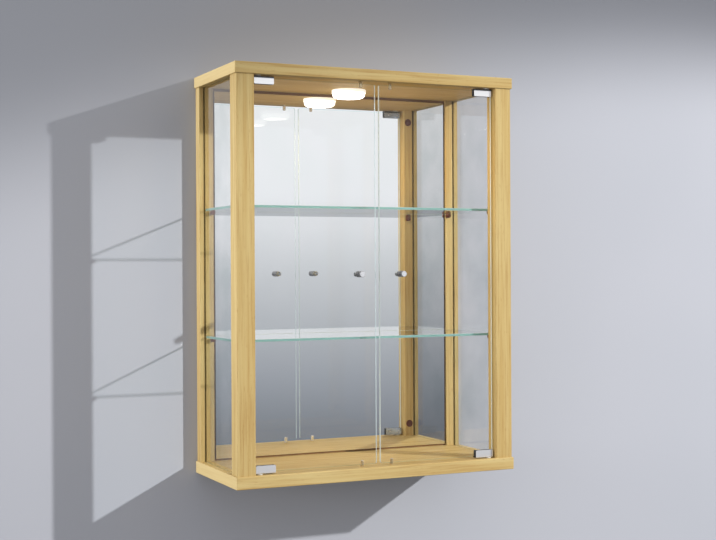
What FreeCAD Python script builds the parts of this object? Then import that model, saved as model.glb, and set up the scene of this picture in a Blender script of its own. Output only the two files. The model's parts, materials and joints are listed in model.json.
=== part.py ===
import FreeCAD
import Part
import Sketcher
import os
import re

# A wall display cabinet. X runs to the right, Y into the wall and Z up, in millimetres.
# The origin lies on the wall, midway between the two keyholes that the cabinet hangs on.

# Driving sizes
SIZES = {
    # outer box, boards and posts
    "cabinet_width": 600,
    "cabinet_height": 800,
    "cabinet_depth": 245,
    "hanger_drop": 95,
    "top_thickness": 22,
    "base_thickness": 24,
    "overhang": 3,
    "edge_round": 1.5,
    "post_width": 36,
    "front_post_depth": 34,
    "rear_post_width": 32,
    "rear_post_depth": 22,
    "post_round": 1,
    # side panes, mirror and the grooves that hold them
    "side_glass_thickness": 4,
    "side_glass_inset": 10,
    "groove_depth": 8,
    "groove_clearance": 1.3,
    "panel_groove_depth": 7,
    "pane_end_gap": 1,
    "mirror_thickness": 4,
    "mirror_setback": 3,
    "mirror_margin": 4,
    "mirror_top_margin": 6,
    "back_board_thickness": 3,
    "board_groove_depth": 5,
    "board_clearance": 0.2,
    # shelves and their supports
    "shelf_spacing": 256,
    "shelf_thickness": 5,
    "shelf_gap": 1,
    "glass_arris": 0.5,
    "support_inset": 3.6,
    "support_pin_diameter": 5,
    "support_pin_length": 5,
    "support_head_diameter": 9,
    "support_reach": 9,
    "support_seat_height": 3,
    # cam joints and dowels
    "cam_diameter": 15,
    "cam_depth": 11,
    "cam_height": 28,
    "cam_bolt_inset": 6,
    "cam_wall": 1.5,
    "cam_slot_width": 1.6,
    "cam_slot_depth": 3,
    "cap_diameter": 16.5,
    "cap_height": 0.8,
    "cap_spigot": 1,
    "cap_dimple_diameter": 3,
    "cap_dimple_depth": 0.4,
    "bolt_diameter": 6,
    "bolt_thread_diameter": 5,
    "bolt_thread_length": 11,
    "bolt_neck_diameter": 3.6,
    "bolt_neck_length": 2.5,
    "bolt_head_length": 2.5,
    "dowel_diameter": 6,
    "dowel_in_panel": 12,
    "dowel_in_post": 16,
    "dowel_chamfer": 0.8,
    "drill_clearance": 0.2,
    "drill_end_gap": 0.5,
    # doors
    "door_thickness": 5,
    "door_setback": 12,
    "door_side_gap": 3,
    "door_end_gap": 5,
    "door_meeting_gap": 8,
    "door_corner_radius": 4,
    "pivot_inset": 9,
    "pin_diameter": 5,
    "pin_depth": 8,
    "pin_chamfer": 0.6,
    "pin_running_gap": 0.05,
    "bush_diameter": 9,
    "bush_depth": 10,
    "bush_flange_diameter": 13,
    "bush_gap": 0.3,
    "clamp_length": 40,
    "clamp_grip": 12,
    "clamp_wall": 2,
    "clamp_end_inset": 0.5,
    "clamp_bend_radius": 1.2,
    "clamp_corner_radius": 2,
    "liner_thickness": 1,
    "liner_end_inset": 0.5,
    "clamp_screw_diameter": 4,
    "clamp_screw_near_inset": 10.5,
    "clamp_screw_far_inset": 7.5,
    "clamp_screw_proud": 0.5,
    "clamp_screw_socket": 2,
    "clamp_screw_socket_depth": 1.2,
    # knobs
    "knob_inset": 41,
    "knob_diameter": 12,
    "knob_length": 25,
    "knob_chamfer": 0.8,
    "knob_neck_diameter": 8,
    "knob_neck_length": 3,
    "knob_thread_depth": 9,
    "knob_screw_diameter": 4,
    "knob_screw_engagement": 7,
    "knob_screw_head_diameter": 8,
    "knob_screw_head_height": 2.2,
    "knob_hole_diameter": 6,
    "washer_diameter": 10,
    "washer_thickness": 1,
    # door stops
    "stop_inset": 28,
    "stop_diameter": 7,
    "stop_height": 12,
    "stop_chamfer": 1,
    "stop_gap": 0.3,
    "stop_spigot_diameter": 5,
    "stop_spigot_length": 10,
    # keyhole hangers
    "hanger_width": 22,
    "hanger_length": 44,
    "hanger_thickness": 2,
    "hanger_corner_radius": 4,
    "hanger_below_entry": 18,
    "entry_diameter": 9.5,
    "slot_width": 4.8,
    "slot_rise": 14,
    "head_pocket_width": 14,
    "head_pocket_margin": 8,
    "head_pocket_depth": 8,
    "hanger_screw_diameter": 3.5,
    "hanger_screw_head": 6.6,
    "hanger_screw_length": 12,
    "hanger_screw_inset": 5,
    # lamp
    "lamp_setback": 95,
    "lamp_diameter": 70,
    "lamp_height": 16,
    "lamp_plate_thickness": 2,
    "lamp_rim_height": 6,
    "lamp_wall": 1.5,
    "lens_wall": 2,
    "lens_round": 7,
    "lens_gap": 0.2,
    "cable_hole_diameter": 8,
    "lamp_screw_spacing": 50,
    "lamp_screw_diameter": 3.5,
    "lamp_screw_length": 12,
    "lamp_screw_head_diameter": 7,
    "lamp_screw_head_height": 2.4,
    "lamp_board_diameter": 36,
    "lamp_board_thickness": 1.6,
    "led_circle_diameter": 24,
    "led_width": 3.4,
    "led_height": 0.9,
    # cross recesses in the screw heads
    "recess_length": 3.8,
    "recess_width": 0.9,
    "recess_depth": 1.1,
}

# Places worked out from the driving sizes. Those in X are for the right-hand side.
PLACES = {
    "half_width": "cabinet_width / 2",
    "base_bottom_z": "hanger_drop - cabinet_height",
    "base_top_z": "base_bottom_z + base_thickness",
    "top_bottom_z": "hanger_drop - top_thickness",
    "middle_z": "(base_top_z + top_bottom_z) / 2",
    "post_length": "top_bottom_z - base_top_z",
    "post_outer_x": "half_width - overhang",
    "post_inner_x": "post_outer_x - post_width",
    "post_middle_x": "(post_outer_x + post_inner_x) / 2",
    "post_front_y": "overhang - cabinet_depth",
    "post_back_y": "post_front_y + front_post_depth",
    "rear_post_y": "-rear_post_depth",
    "rear_inner_x": "post_outer_x - rear_post_width",
    "rear_middle_x": "(post_outer_x + rear_inner_x) / 2",
    # grooves and panes
    "pane_outer_x": "post_outer_x - side_glass_inset",
    "pane_inner_x": "pane_outer_x - side_glass_thickness",
    "groove_outer_x": "pane_outer_x + groove_clearance",
    "groove_inner_x": "pane_inner_x - groove_clearance",
    "groove_front_y": "post_back_y - groove_depth",
    "groove_rear_y": "rear_post_y + groove_depth",
    "pane_bottom_z": "base_top_z - panel_groove_depth",
    "pane_top_z": "top_bottom_z + panel_groove_depth - pane_end_gap",
    "mirror_front_y": "rear_post_y + mirror_setback",
    "mirror_back_y": "mirror_front_y + mirror_thickness",
    "board_back_y": "mirror_back_y + back_board_thickness",
    "mirror_edge_x": "rear_inner_x - mirror_margin",
    "mirror_bottom_z": "base_top_z + mirror_margin",
    "mirror_top_z": "top_bottom_z - mirror_top_margin",
    "board_groove_x": "rear_inner_x + board_groove_depth",
    "board_groove_front_y": "mirror_back_y - board_clearance",
    "board_groove_back_y": "board_back_y + board_clearance",
    "board_edge_x": "board_groove_x - pane_end_gap",
    # shelves
    "lower_shelf_z": "middle_z - shelf_spacing / 2",
    "upper_shelf_z": "middle_z + shelf_spacing / 2",
    "shelf_edge_x": "pane_inner_x - shelf_gap",
    "shelf_front_y": "post_back_y + shelf_gap",
    "shelf_back_y": "rear_post_y - shelf_gap",
    "support_x": "rear_inner_x + support_inset",
    "support_bore": "support_pin_diameter + drill_clearance",
    "support_bore_depth": "support_pin_length + drill_end_gap",
    # cam joints and dowels
    "front_cam_x": "(post_inner_x + groove_inner_x) / 2",
    "rear_cam_x": "board_groove_x + cam_wall + cam_diameter / 2",
    "front_bolt_y": "post_back_y - cam_bolt_inset",
    "rear_bolt_y": "-cam_bolt_inset",
    "bolt_bore": "bolt_diameter + drill_clearance",
    "front_dowel_y": "(post_front_y + groove_front_y) / 2",
    "rear_dowel_x": "(rear_cam_x + cam_diameter / 2 + post_outer_x) / 2",
    "dowel_bore": "dowel_diameter + drill_clearance",
    "cam_housing_diameter": "cam_diameter - drill_clearance",
    "cam_housing_height": "cam_depth - cap_spigot",
    # doors and their fittings
    "door_front_y": "post_front_y + door_setback",
    "door_back_y": "door_front_y + door_thickness",
    "door_outer_x": "post_inner_x - door_side_gap",
    "door_meeting_x": "door_meeting_gap / 2",
    "door_bottom_z": "base_top_z + door_end_gap",
    "door_top_z": "top_bottom_z - door_end_gap",
    "pivot_x": "door_outer_x - pivot_inset",
    "pivot_y": "(door_front_y + door_back_y) / 2",
    "clamp_outer_x": "door_outer_x - clamp_end_inset",
    "clamp_inner_x": "clamp_outer_x - clamp_length",
    "liner_front_y": "door_front_y - liner_thickness",
    "liner_back_y": "door_back_y + liner_thickness",
    "liner_bottom_z": "door_bottom_z - liner_thickness",
    "clamp_front_y": "liner_front_y - clamp_wall",
    "clamp_back_y": "liner_back_y + clamp_wall",
    "clamp_bottom_z": "liner_bottom_z - clamp_wall",
    "clamp_top_z": "door_bottom_z + clamp_grip",
    "clamp_screw_z": "door_bottom_z + clamp_grip / 2",
    "clamp_screw_near_x": "clamp_inner_x + clamp_screw_near_inset",
    "clamp_screw_far_x": "clamp_outer_x - clamp_screw_far_inset",
    "clamp_screw_length": "clamp_wall + clamp_screw_proud",
    "bush_flange": "clamp_bottom_z - bush_gap - base_top_z",
    "knob_x": "door_meeting_x + knob_inset",
    "stop_x": "door_meeting_x + stop_inset",
    "stop_y": "door_back_y + stop_gap + stop_diameter / 2",
    # hangers
    "hanger_bottom_z": "-hanger_below_entry",
    "hanger_top_z": "hanger_bottom_z + hanger_length",
    "hanger_low_screw_z": "hanger_bottom_z + hanger_screw_inset",
    "hanger_high_screw_z": "hanger_top_z - hanger_screw_inset",
    "hanger_screw_bore": "hanger_screw_diameter + drill_clearance",
    # lamp
    "lamp_y": "-lamp_setback",
    "lamp_screw_x": "lamp_screw_spacing / 2",
    "lens_radius": "lamp_diameter / 2 - lamp_wall - lens_gap",
    "lamp_screw_bore": "lamp_screw_diameter + drill_clearance",
}

TOUCH = 1e-4
NORMALS = {"x": FreeCAD.Vector(1, 0, 0), "z": FreeCAD.Vector(0, 0, 1)}
X_AXIS = FreeCAD.Vector(1, 0, 0)
FACING = {
    "up": FreeCAD.Rotation(),
    "down": FreeCAD.Rotation(X_AXIS, 180),
    "front": FreeCAD.Rotation(X_AXIS, 90),
    "back": FreeCAD.Rotation(X_AXIS, -90),
}

doc = FreeCAD.newDocument("display_cabinet")


# Sheets and formulas

def add_sheet(name, cells):
    """Makes a sheet with one named cell for each entry."""
    sheet = doc.addObject("Spreadsheet::Sheet", name)
    for row, (alias, content) in enumerate(cells.items(), start=1):
        sheet.set(f"A{row}", alias)
        sheet.set(f"B{row}", content)
        sheet.setAlias(f"B{row}", alias)
    doc.recompute()
    return sheet


def sized(formula):
    """Puts the sheet's name before each named size in a formula."""
    def place(word):
        name = word.group()
        if name in SIZES:
            return "Sizes." + name
        return "Places." + name if name in PLACES else name
    return re.sub(r"[a-z]\w*", place, formula)


def number(formula):
    """The present value of a formula of named sizes."""
    value = sizes.evalExpression(sized(formula))
    return float(getattr(value, "Value", value))


sizes = add_sheet("Sizes", {alias: str(value) for alias, value in SIZES.items()})
places = add_sheet("Places", {alias: "=" + sized(formula) for alias, formula in PLACES.items()})


# Sketches and features

def add_sketch(body, name, role, height="0"):
    """Adds a sketch on one of the body's origin planes, raised along that plane's normal."""
    plane = next(item for item in body.Origin.OriginFeatures if item.Role == role)
    sketch = body.newObject("Sketcher::SketchObject", f"{body.Name}_{name}")
    sketch.AttachmentSupport = [(plane, "")]
    sketch.MapMode = "FlatFace"
    sketch.setExpression("AttachmentOffset.Base.z", sized(height))
    return sketch


def pin_vertex(sketch, geometry, vertex, x, y):
    """Ties one vertex of a sketch to two formulas."""
    for kind, formula in (("DistanceX", x), ("DistanceY", y)):
        constraint = Sketcher.Constraint(kind, -1, 1, geometry, vertex, number(formula))
        index = sketch.addConstraint(constraint)
        sketch.setExpression(f"Constraints[{index}]", sized(formula))


def add_polygon(sketch, points):
    """Adds a closed outline through points given as pairs of formulas."""
    first = sketch.GeometryCount
    corners = [FreeCAD.Vector(number(x), number(y), 0) for x, y in points]
    for corner, following in zip(corners, corners[1:] + corners[:1]):
        sketch.addGeometry(Part.LineSegment(corner, following))
    for index, (x, y) in enumerate(points):
        following = first + (index + 1) % len(points)
        sketch.addConstraint(Sketcher.Constraint("Coincident", first + index, 2, following, 1))
        pin_vertex(sketch, first + index, 1, x, y)


def add_rectangle(sketch, left, right, low, high):
    """Adds a rectangle between four formulas."""
    add_polygon(sketch, [(left, low), (right, low), (right, high), (left, high)])


def add_circle(sketch, x, y, diameter):
    """Adds a circle with its centre and diameter tied to formulas."""
    centre = FreeCAD.Vector(number(x), number(y), 0)
    circle = sketch.addGeometry(Part.Circle(centre, FreeCAD.Vector(0, 0, 1), number(diameter) / 2))
    pin_vertex(sketch, circle, 3, x, y)
    index = sketch.addConstraint(Sketcher.Constraint("Diameter", circle, number(diameter)))
    sketch.setExpression(f"Constraints[{index}]", sized(diameter))


def add_pad(body, sketch, length, along=True):
    """Extrudes a sketch along its plane's normal, or against it."""
    pad = body.newObject("PartDesign::Pad", sketch.Name + "_pad")
    pad.Profile = sketch
    pad.Reversed = not along
    pad.setExpression("Length", sized(length))
    doc.recompute()


def add_pocket(body, sketch, depth, along):
    """Cuts a sketch into the body along its plane's normal, or against it."""
    before = body.Shape.Volume
    pocket = body.newObject("PartDesign::Pocket", sketch.Name + "_pocket")
    pocket.Profile = sketch
    pocket.Reversed = along
    pocket.setExpression("Length", sized(depth))
    doc.recompute()
    if body.Shape.Volume >= before:
        raise ValueError(f"{sketch.Name} cuts nothing")


def drill(body, name, role, height, holes, depth, along):
    """Drills round holes, given as (x, y, diameter) in the sketch's plane."""
    sketch = add_sketch(body, name, role, height)
    for hole in holes:
        add_circle(sketch, *hole)
    add_pocket(body, sketch, depth, along)


def dress_edges(body, kind, size_name, formula, wanted):
    """Rounds or bevels the edges of the body that a test picks out."""
    base = body.Tip
    names = [f"Edge{index}" for index, edge in enumerate(base.Shape.Edges, start=1) if wanted(edge)]
    feature = body.newObject("PartDesign::" + kind, f"{body.Name}_{kind}_{len(body.Group)}")
    feature.Base = (base, names)
    feature.setExpression(size_name, sized(formula))
    doc.recompute()


def round_edges(body, radius, wanted):
    """Rounds the edges that a test picks out."""
    dress_edges(body, "Fillet", "Radius", radius, wanted)


def bevel_edges(body, size, wanted):
    """Bevels the edges that a test picks out."""
    dress_edges(body, "Chamfer", "Size", size, wanted)


def runs_along(edge, axis):
    """Tells whether an edge is straight and parallel to the named axis."""
    spans = {"x": edge.BoundBox.XLength, "y": edge.BoundBox.YLength, "z": edge.BoundBox.ZLength}
    return spans.pop(axis) > TOUCH and max(spans.values()) < TOUCH


def stands_at(corners):
    """A test for upright edges at the given corners in plan."""
    spots = [(number(x), number(y)) for x, y in corners]

    def wanted(edge):
        middle = edge.CenterOfMass
        near = any(abs(middle.x - x) + abs(middle.y - y) < TOUCH for x, y in spots)
        return near and runs_along(edge, "z")
    return wanted


def turned(label, profile, x, y, z, facing):
    """Makes a turned piece from (radius, height) points about its own axis, then places it."""
    body = doc.addObject("PartDesign::Body", label)
    sketch = add_sketch(body, "profile", "XZ_Plane")
    add_polygon(sketch, profile)
    turn = body.newObject("PartDesign::Revolution", label + "_turn")
    turn.Profile = sketch
    turn.ReferenceAxis = (sketch, ["V_Axis"])
    turn.Angle = 360
    body.Placement = FreeCAD.Placement(FreeCAD.Vector(), FACING[facing])
    for axis, formula in zip("xyz", (x, y, z)):
        body.setExpression(f"Placement.Base.{axis}", sized(formula))
    doc.recompute()
    return body


def cross_cut(screw, face, along):
    """Cuts a cross recess in the head of a turned screw."""
    long, short = "recess_length / 2", "recess_width / 2"
    corner = [(short, long), (short, short), (long, short)]
    turns = [("", "", False), ("", "-", True), ("-", "-", False), ("-", "", True)]
    cross = add_sketch(screw, "recess", "XY_Plane", face)
    outline = []
    for x_sign, y_sign, backwards in turns:
        points = [(x_sign + x, y_sign + y) for x, y in corner]
        outline += reversed(points) if backwards else points
    add_polygon(cross, outline)
    add_pocket(screw, cross, "recess_depth", along)
    return screw


def block(label, left, right, front, back, low, high):
    """Makes a plain block between six formulas."""
    piece = doc.addObject("Part::Box", label)
    spans = {"Length": (left, right), "Width": (front, back), "Height": (low, high)}
    for (side, (start, end)), axis in zip(spans.items(), "xyz"):
        piece.setExpression(side, sized(f"({end}) - ({start})"))
        piece.setExpression(f"Placement.Base.{axis}", sized(start))
    doc.recompute()
    return piece


# Copies and groups

def mirrored(piece, label, axis):
    """Mirrors a piece left to right, or top to bottom about the middle of the posts."""
    copy = doc.addObject("Part::Mirroring", label)
    copy.Source = piece
    copy.Normal = NORMALS[axis]
    if axis == "z":
        copy.setExpression("Base.z", sized("middle_z"))
    return copy


def group(label, pieces):
    """Gathers separate solids in one node."""
    bundle = doc.addObject("Part::Compound", label)
    bundle.Links = pieces
    doc.recompute()
    return bundle


def both_sides(piece):
    """A left-hand piece and its right-hand copy."""
    return [piece, mirrored(piece, piece.Name + "_right", "x")]


def both_ends(piece):
    """A lower piece and its upper copy."""
    return [piece, mirrored(piece, piece.Name + "_upper", "z")]


def four_corners(piece):
    """A lower left piece and its copies at the other three corners."""
    return [copy for end in both_ends(piece) for copy in both_sides(end)]


# Boards and posts

def make_panel(label, low_z, thickness, inner_z, cut_up):
    """The top or the base: a board with rounded edges, grooved and drilled on its inner face."""
    body = doc.addObject("PartDesign::Body", label)
    board = add_sketch(body, "board", "XY_Plane", low_z)
    add_rectangle(board, "-half_width", "half_width", "-cabinet_depth", "0")
    add_pad(body, board, thickness)
    round_edges(body, "edge_round", lambda edge: edge.CenterOfMass.y < -TOUCH)

    grooves = add_sketch(body, "grooves", "XY_Plane", inner_z)
    pane_span = ("groove_front_y", "groove_rear_y")
    board_span = ("board_groove_front_y", "board_groove_back_y")
    for side in ("-", ""):
        add_rectangle(grooves, side + "groove_inner_x", side + "groove_outer_x", *pane_span)
    add_rectangle(grooves, "-board_groove_x", "board_groove_x", *board_span)
    add_pocket(body, grooves, "panel_groove_depth", cut_up)

    def drill_pairs(name, spots, diameter, depth):
        holes = [(side + x, y, diameter) for x, y in spots for side in ("-", "")]
        drill(body, name, "XY_Plane", inner_z, holes, depth, cut_up)

    bolts = [("front_cam_x", "front_bolt_y"), ("rear_cam_x", "rear_bolt_y")]
    bolt_bore = "bolt_thread_diameter + drill_clearance"
    drill_pairs("bolts", bolts, bolt_bore, "bolt_thread_length + drill_end_gap")
    dowels = [("post_middle_x", "front_dowel_y"), ("rear_dowel_x", "rear_bolt_y")]
    drill_pairs("dowels", dowels, "dowel_bore", "dowel_in_panel + drill_end_gap")
    bush_bore = "bush_diameter + drill_clearance"
    drill_pairs("bushes", [("pivot_x", "pivot_y")], bush_bore, "bush_depth + drill_end_gap")
    stop_bore = "stop_spigot_diameter + drill_clearance"
    drill_pairs("stops", [("stop_x", "stop_y")], stop_bore, "stop_spigot_length + drill_end_gap")
    return body


def make_base():
    """The base board."""
    return make_panel("base_panel", "base_bottom_z", "base_thickness", "base_top_z", cut_up=False)


def make_top():
    """The top board, with the lamp's cable hole and screw holes."""
    body = make_panel("top_panel", "top_bottom_z", "top_thickness", "top_bottom_z", cut_up=True)
    cable = [("0", "lamp_y", "cable_hole_diameter")]
    drill(body, "cable", "XY_Plane", "top_bottom_z", cable, "top_thickness", along=True)
    screws = [(x, "lamp_y", "lamp_screw_bore") for x in ("-lamp_screw_x", "lamp_screw_x")]
    drill(body, "lamp_screws", "XY_Plane", "top_bottom_z", screws, "lamp_screw_length", along=True)
    return body


def drill_post(body, cam_face_y, cam_x, bolt_y, dowel_x, dowel_y):
    """Bores a post's two ends for cam, bolt and dowel."""
    heights = ("base_top_z + cam_height", "top_bottom_z - cam_height")
    cams = [("-" + cam_x, z, "cam_diameter") for z in heights]
    drill(body, "cams", "XZ_Plane", f"-({cam_face_y})", cams, "cam_depth", along=True)
    for end, height, upward in (("low", "base_top_z", True), ("high", "top_bottom_z", False)):
        bolt = [("-" + cam_x, bolt_y, "bolt_bore")]
        drill(body, end + "_bolt", "XY_Plane", height, bolt, "cam_height", upward)
        dowel = [("-" + dowel_x, dowel_y, "dowel_bore")]
        drill(body, end + "_dowel", "XY_Plane", height, dowel, "dowel_in_post + drill_end_gap", upward)


def drill_supports(body, face_y, along):
    """Bores a post's inward face for the shelf supports."""
    heights = [f"{level}_shelf_z - support_seat_height" for level in ("lower", "upper")]
    holes = [("-support_x", z, "support_bore") for z in heights]
    drill(body, "supports", "XZ_Plane", f"-({face_y})", holes, "support_bore_depth", along)


def make_front_post():
    """The front left post, grooved in its back face for the side glass."""
    body = doc.addObject("PartDesign::Body", "front_left_post")
    section = add_sketch(body, "section", "XY_Plane", "base_top_z")
    corners = [("-post_outer_x", "post_front_y"), ("-post_inner_x", "post_front_y"),
               ("-post_inner_x", "post_back_y"), ("-post_outer_x", "post_back_y")]
    groove = [("-groove_inner_x", "post_back_y"), ("-groove_inner_x", "groove_front_y"),
              ("-groove_outer_x", "groove_front_y"), ("-groove_outer_x", "post_back_y")]
    add_polygon(section, corners[:3] + groove + corners[3:])
    add_pad(body, section, "post_length")
    round_edges(body, "post_round", stands_at(corners))
    drill_post(body, "post_back_y", "front_cam_x", "front_bolt_y", "post_middle_x", "front_dowel_y")
    drill_supports(body, "post_back_y", along=True)
    return body


def make_rear_post():
    """The rear left post, grooved for the side glass and the back board, with a hanger's recess behind."""
    body = doc.addObject("PartDesign::Body", "rear_left_post")
    section = add_sketch(body, "section", "XY_Plane", "base_top_z")
    front_corners = [("-post_outer_x", "rear_post_y"), ("-rear_inner_x", "rear_post_y")]
    pane_groove = [("-groove_outer_x", "rear_post_y"), ("-groove_outer_x", "groove_rear_y"),
                   ("-groove_inner_x", "groove_rear_y"), ("-groove_inner_x", "rear_post_y")]
    board_groove = [("-rear_inner_x", "board_groove_front_y"), ("-board_groove_x", "board_groove_front_y"),
                    ("-board_groove_x", "board_groove_back_y"), ("-rear_inner_x", "board_groove_back_y")]
    back_corners = [("-rear_inner_x", "0"), ("-post_outer_x", "0")]
    add_polygon(section, front_corners[:1] + pane_groove + front_corners[1:] + board_groove + back_corners)
    add_pad(body, section, "post_length")
    round_edges(body, "post_round", stands_at(front_corners))
    drill_post(body, "0", "rear_cam_x", "rear_bolt_y", "rear_dowel_x", "rear_bolt_y")
    drill_supports(body, "rear_post_y", along=False)

    recess = add_sketch(body, "recess", "XZ_Plane")
    half = "(hanger_width + drill_clearance) / 2"
    low, high = "hanger_bottom_z - drill_clearance / 2", "hanger_top_z + drill_clearance / 2"
    add_rectangle(recess, f"-rear_middle_x - {half}", f"-rear_middle_x + {half}", low, high)
    add_pocket(body, recess, "hanger_thickness", along=True)
    pocket = add_sketch(body, "head_pocket", "XZ_Plane", "hanger_thickness")
    half = "head_pocket_width / 2"
    low, high = "-head_pocket_margin", "slot_rise + head_pocket_margin"
    add_rectangle(pocket, f"-rear_middle_x - {half}", f"-rear_middle_x + {half}", low, high)
    add_pocket(body, pocket, "head_pocket_depth", along=True)
    levels = ("hanger_low_screw_z", "hanger_high_screw_z")
    screws = [("-rear_middle_x", z, "hanger_screw_bore") for z in levels]
    drill(body, "screws", "XZ_Plane", "0", screws, "hanger_screw_length + drill_end_gap", along=True)
    return body


# Panes, mirror and shelves

def make_side_glass():
    """The left pane, standing in the grooves of posts and boards."""
    depths = ("groove_front_y + pane_end_gap", "groove_rear_y - pane_end_gap")
    heights = ("pane_bottom_z", "pane_top_z")
    return block("left_side_glass", "-pane_outer_x", "-pane_inner_x", *depths, *heights)


def make_mirror():
    """The sheet of board in the rear grooves, and the mirror glued to its face with a margin all round."""
    sides, heights = ("-board_edge_x", "board_edge_x"), ("pane_bottom_z", "pane_top_z")
    board = block("back_board", *sides, "mirror_back_y", "board_back_y", *heights)
    sides, heights = ("-mirror_edge_x", "mirror_edge_x"), ("mirror_bottom_z", "mirror_top_z")
    mirror = block("mirror_pane", *sides, "mirror_front_y", "mirror_back_y", *heights)
    return [mirror, board]


def make_shelf(level):
    """One glass shelf with bevelled edges, and its four supports."""
    z = level + "_shelf_z"
    body = doc.addObject("PartDesign::Body", level + "_shelf")
    plan = add_sketch(body, "plan", "XY_Plane", z)
    add_rectangle(plan, "-shelf_edge_x", "shelf_edge_x", "shelf_front_y", "shelf_back_y")
    add_pad(body, plan, "shelf_thickness")
    bevel_edges(body, "glass_arris", lambda edge: not runs_along(edge, "z"))
    rear = make_support(level + "_rear_support", "rear_post_y", z, "front")
    front = make_support(level + "_front_support", "post_back_y", z, "back")
    supports = group(level + "_shelf_supports", both_sides(front) + both_sides(rear))
    return [body, supports]


def make_support(label, face_y, shelf_z, facing):
    """A pin in the post with a round head, flat on top where the glass lies."""
    pin, head = "support_pin_diameter / 2", "support_head_diameter / 2"
    bevel = "glass_arris"
    profile = [("0", "-support_pin_length"), (pin, "-support_pin_length"), (pin, "0"), (head, "0"),
               (head, f"support_reach - {bevel}"), (f"{head} - {bevel}", "support_reach"),
               ("0", "support_reach")]
    body = turned(label, profile, "-support_x", face_y, f"{shelf_z} - support_seat_height", facing)
    flat = add_sketch(body, "flat", "XY_Plane")
    above = ("support_seat_height", head) if facing == "front" else (f"-{head}", "-support_seat_height")
    add_rectangle(flat, f"-{head}", head, *above)
    add_pocket(body, flat, "support_reach", along=True)
    return body


# Cam joints and dowels

def make_cam(label, x, face_y):
    """A cam housing: a drum with a screwdriver slot and a bore for the bolt's head."""
    radius = "cam_housing_diameter / 2"
    drum = [("0", "0"), (radius, "0"), (radius, "cam_housing_height"), ("0", "cam_housing_height")]
    body = turned(label, drum, "-" + x, f"{face_y} - cam_depth", "base_top_z + cam_height", "back")
    bolt = [("0", "cam_depth - cam_bolt_inset", "bolt_bore")]
    drill(body, "bolt", "XZ_Plane", "0", bolt, radius, along=False)
    slot = add_sketch(body, "slot", "XY_Plane", "cam_housing_height")
    add_rectangle(slot, f"-{radius} / 2", f"{radius} / 2", "-cam_slot_width / 2", "cam_slot_width / 2")
    add_pocket(body, slot, "cam_slot_depth", along=False)
    return body


def make_bolt(label, x, y):
    """A cam bolt: thread in the board, shank in the post, neck and head in the cam."""
    thread, shank, neck = "bolt_thread_diameter / 2", "bolt_diameter / 2", "bolt_neck_diameter / 2"
    neck_end = "cam_height - bolt_head_length"
    neck_start = neck_end + " - bolt_neck_length"
    profile = [("0", "-bolt_thread_length"), (thread, "-bolt_thread_length"), (thread, "0"), (shank, "0"),
               (shank, neck_start), (neck, neck_start), (neck, neck_end), (thread, neck_end),
               (thread, "cam_height"), ("0", "cam_height")]
    return turned(label, profile, "-" + x, y, "base_top_z", "up")


def make_cap():
    """A cover cap over a front cam, with a dimple in the middle."""
    spigot, flange, dimple = "cam_housing_diameter / 2", "cap_diameter / 2", "cap_dimple_diameter / 2"
    dimple_floor = "cap_height - cap_dimple_depth"
    bevel = "cap_height / 2"
    profile = [("0", "-cap_spigot"), (spigot, "-cap_spigot"), (spigot, "0"), (flange, "0"), (flange, bevel),
               (f"{flange} - {bevel}", "cap_height"), (dimple, "cap_height"), (dimple, dimple_floor),
               ("0", dimple_floor)]
    return turned("cam_cap", profile, "-front_cam_x", "post_back_y", "base_top_z + cam_height", "back")


def make_dowel(label, x, y):
    """A bevelled wooden dowel between board and post."""
    radius, narrow = "dowel_diameter / 2", "dowel_diameter / 2 - dowel_chamfer"
    profile = [("0", "-dowel_in_panel"), (narrow, "-dowel_in_panel"),
               (radius, "dowel_chamfer - dowel_in_panel"), (radius, "dowel_in_post - dowel_chamfer"),
               (narrow, "dowel_in_post"), ("0", "dowel_in_post")]
    return turned(label, profile, "-" + x, y, "base_top_z", "up")


def make_joints():
    """The fittings that join the four posts to the two boards."""
    front_cam = make_cam("front_cam", "front_cam_x", "post_back_y")
    rear_cam = make_cam("rear_cam", "rear_cam_x", "0")
    front_bolt = make_bolt("front_bolt", "front_cam_x", "front_bolt_y")
    rear_bolt = make_bolt("rear_bolt", "rear_cam_x", "rear_bolt_y")
    front_dowel = make_dowel("front_dowel", "post_middle_x", "front_dowel_y")
    rear_dowel = make_dowel("rear_dowel", "rear_dowel_x", "rear_bolt_y")
    return [
        group("cam_housings", four_corners(front_cam) + four_corners(rear_cam)),
        group("cam_bolts", four_corners(front_bolt) + four_corners(rear_bolt)),
        group("cam_caps", four_corners(make_cap())),
        group("dowels", four_corners(front_dowel) + four_corners(rear_dowel)),
    ]


# Doors

def make_bushes():
    """Flanged bushes in base and top, one for each hinge pin."""
    bore = "pin_diameter / 2 + pin_running_gap"
    outer, flange = "bush_diameter / 2", "bush_flange_diameter / 2"
    floor = "-pin_depth - drill_end_gap"
    profile = [(bore, "bush_flange"), (bore, floor), ("0", floor), ("0", "-bush_depth"),
               (outer, "-bush_depth"), (outer, "0"), (flange, "0"), (flange, "bush_flange")]
    bush = turned("hinge_bush", profile, "-pivot_x", "pivot_y", "base_top_z", "up")
    return group("hinge_bushes", four_corners(bush))


def make_stops():
    """Turned stop pins in base and top, just behind the closed doors."""
    spigot, radius = "stop_spigot_diameter / 2", "stop_diameter / 2"
    profile = [("0", "-stop_spigot_length"), (spigot, "-stop_spigot_length"), (spigot, "0"), (radius, "0"),
               (radius, "stop_height - stop_chamfer"), (f"{radius} - stop_chamfer", "stop_height"),
               ("0", "stop_height")]
    stop = turned("door_stop", profile, "-stop_x", "stop_y", "base_top_z", "up")
    return group("door_stops", four_corners(stop))


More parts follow.
